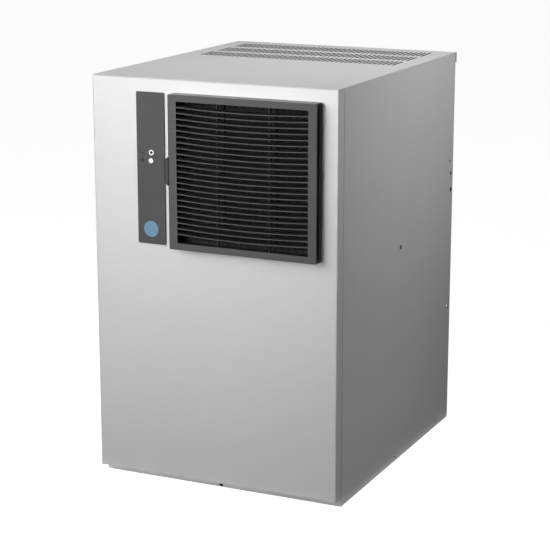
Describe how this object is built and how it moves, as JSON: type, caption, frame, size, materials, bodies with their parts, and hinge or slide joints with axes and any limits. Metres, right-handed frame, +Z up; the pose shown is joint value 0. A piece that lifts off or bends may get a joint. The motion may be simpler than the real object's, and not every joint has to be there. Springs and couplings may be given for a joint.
{
  "type": "ice cube machine",
  "caption": "Modular ice cube machine with a steel cabinet, louvred air inlet on a hinged door, control plate, top vents and an ice making compartment that drops its ice through the base",
  "frame": {"origin": "centre of the bounding box's footprint, at the bottom of the base", "axes": "+X to the right seen from the front, front faces -Y, +Z up"},
  "size_m": [0.564, 0.739, 0.882],
  "materials": {
    "cabinet_steel": "satin",
    "galvanised_steel": "satin",
    "guard_plastic": "matte",
    "zinc_screws": "satin",
    "black_screws": "satin",
    "louvre_plastic": "matte",
    "filter_mesh": "matte",
    "plate_plastic": "matte",
    "power_plastic": "gloss",
    "service_plastic": "gloss",
    "clear_lens": "gloss",
    "white_lens": "gloss",
    "circuit_laminate": "satin",
    "finned_aluminium": "satin",
    "fan_plastic": "matte",
    "bright_steel": "polished",
    "motor_paint": "satin",
    "compressor_paint": "satin",
    "foot_rubber": "matte",
    "copper": "satin",
    "valve_brass": "satin",
    "liner_plastic": "satin",
    "tinned_plate": "satin",
    "tank_plastic": "satin",
    "arm_nylon": "matte",
    "pump_plastic": "matte",
    "inlet_plastic": "satin",
    "hose_plastic": "satin",
    "gland_plastic": "satin"
  },
  "bodies": {
    "cabinet": {"actuator_bracket": "galvanised_steel", "actuator_motor": "motor_paint", "air_filter": "filter_mesh", "base_pan": "galvanised_steel", "bin_switch": "pump_plastic", "cable_gland": "gland_plastic", "circuit_board": "circuit_laminate", "compartment_cover": "liner_plastic", "compartment_liner": "liner_plastic", "compressor": "compressor_paint", "compressor_bolts": "zinc_screws", "compressor_feet": "foot_rubber", "condenser": "finned_aluminium", "control_box": "galvanised_steel", "control_box_cover": "galvanised_steel", "control_plate": "plate_plastic", "dark_screws": "black_screws", "discharge_pipe": "copper", "display_board": "circuit_laminate", "drain_pan": "liner_plastic", "drain_pipe": "liner_plastic", "evaporator": "tinned_plate", "evaporator_coil": "copper", "expansion_pipe": "copper", "fan_bracket": "galvanised_steel", "fan_motor": "motor_paint", "fan_shroud": "galvanised_steel", "fill_pipe": "hose_plastic", "filter_drier": "copper", "front_panel": "cabinet_steel", "hot_gas_pipes": "copper", "hot_gas_valve": "valve_brass", "ice_chute": "liner_plastic", "left_side_panel": "cabinet_steel", "liquid_pipe": "copper", "louvre_frame": "louvre_plastic", "panel_screws": "zinc_screws", "partition_shelf": "galvanised_steel", "power_lamp_lens": "clear_lens", "rear_panel": "galvanised_steel", "right_side_panel": "cabinet_steel", "service_lamp_lens": "white_lens", "suction_pipe": "copper", "tank_hangers": "galvanised_steel", "tank_shaft": "bright_steel", "top_panel": "cabinet_steel", "vent_guard": "guard_plastic", "water_valve": "inlet_plastic"},
    "louvre_door": {"louvre_door": "louvre_plastic"},
    "power_button": {"power_button": "power_plastic"},
    "service_button": {"service_button": "service_plastic"},
    "fan": {"fan_blade": "fan_plastic", "fan_shaft": "bright_steel"},
    "cam": {"cam_arm": "arm_nylon", "actuator_shaft": "bright_steel"},
    "tank": {"water_tank": "tank_plastic", "water_plate": "tank_plastic", "lift_spring": "bright_steel", "circulation_pump": "pump_plastic"},
    "paddle": {"bin_switch_paddle": "arm_nylon"}
  },
  "joints": [
    {"name": "louvre_hinge", "type": "hinge", "parent": "cabinet", "child": "louvre_door", "pos_m": [0.238, -0.3615, 0.691], "axis": [0, 0, 1], "range_deg": [0, 90]},
    {"name": "power_press", "type": "slide", "parent": "cabinet", "child": "power_button", "axis": [0, 1, 0], "range_m": [0, 0.0012], "stiffness_N_per_m": 600},
    {"name": "service_press", "type": "slide", "parent": "cabinet", "child": "service_button", "axis": [0, 1, 0], "range_m": [0, 0.0012], "stiffness_N_per_m": 600},
    {"name": "fan_turn", "type": "hinge", "parent": "cabinet", "child": "fan", "pos_m": [0.0785, -0.2255, 0.69], "axis": [0, 1, 0], "continuous": true},
    {"name": "cam_arm_turn", "type": "hinge", "parent": "cabinet", "child": "cam", "pos_m": [0.138, -0.2335, 0.3907], "axis": [0, 1, 0], "range_deg": [0, 180]},
    {"name": "tank_tilt", "type": "hinge", "parent": "cabinet", "child": "tank", "pos_m": [-0.186, -0.0885, 0.4127], "axis": [0, 1, 0], "range_deg": [0, 32]},
    {"name": "paddle_swing", "type": "hinge", "parent": "cabinet", "child": "paddle", "pos_m": [0.138, 0.1395, 0.095], "axis": [1, 0, 0], "range_deg": [-25, 0]}
  ],
  "couplings": [
    {"joint": "tank_tilt", "follows": "cam_arm_turn", "ratio": 0.17778}
  ]
}
